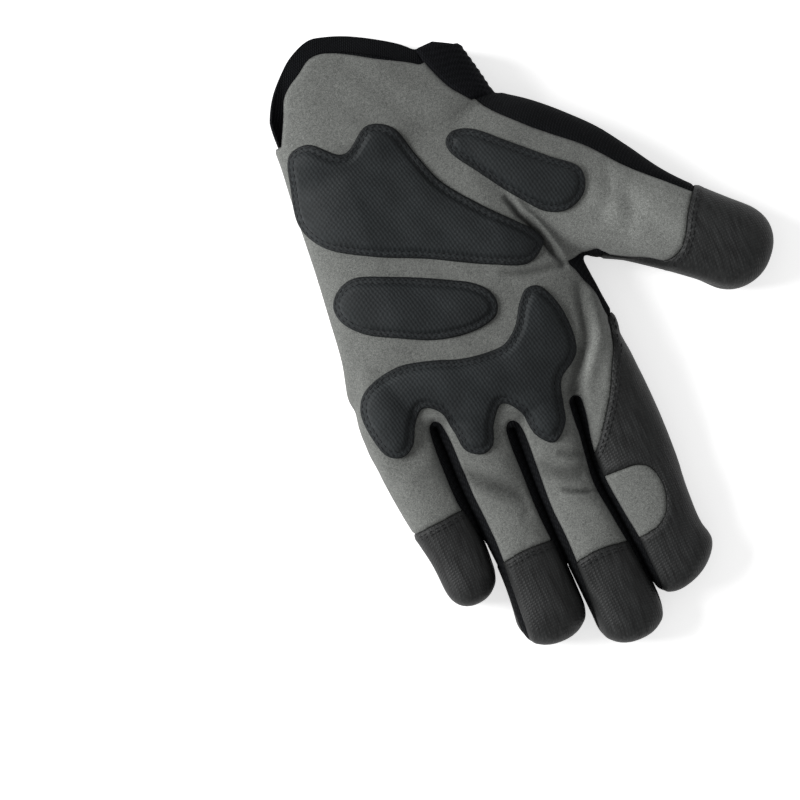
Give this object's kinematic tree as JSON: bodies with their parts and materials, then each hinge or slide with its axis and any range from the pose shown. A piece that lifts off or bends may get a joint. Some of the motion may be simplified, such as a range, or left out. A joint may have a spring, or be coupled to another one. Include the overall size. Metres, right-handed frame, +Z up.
{
  "type": "mechanic glove",
  "caption": "Left-hand padded work glove lying palm up: grey suede palm with raised pads, dark tip caps, black knit back, ribbed panel and wrist strap.",
  "frame": {"origin": "on the surface that the glove lies on, under the middle of its box", "axes": "+Z up out of the palm, +Y towards the fingertips, +X towards the little finger, thumb at -X"},
  "size_m": [0.1692, 0.2516, 0.0299],
  "materials": {
    "palm_suede": "mid-grey synthetic suede with a fine felt-like nap",
    "pad_mesh": "dark blue-grey synthetic leather embossed with a fine mesh, stitched edge",
    "cap_grip": "dark grey synthetic leather with a fine pebble grain",
    "black_knit": "black stretch knit",
    "ribbed_knit": "warm light grey ribbed stretch knit",
    "piping_cream": "light piping cord",
    "black_binding": "black edge binding",
    "black_elastic": "gathered black elastic knit",
    "strap_black": "black hook-and-loop strap"
  },
  "bodies": {
    "root": {"palm_panel": "palm_suede", "index_patch": "palm_suede", "heel_pad": "pad_mesh", "thumb_pad": "pad_mesh", "mid_palm_pad": "pad_mesh", "knuckle_pad": "pad_mesh", "little_cap": "cap_grip", "ring_cap": "cap_grip", "middle_cap": "cap_grip", "index_guard": "cap_grip", "thumb_guard": "cap_grip", "strip_index_middle": "black_knit", "strip_middle_ring": "black_knit", "strip_ring_little": "black_knit", "back_panel": "black_knit", "ribbed_panel": "ribbed_knit", "piping": "piping_cream", "cuff_binding": "black_binding", "wrist_gusset": "black_elastic", "wrist_strap": "strap_black"}
  },
  "joints": []
}
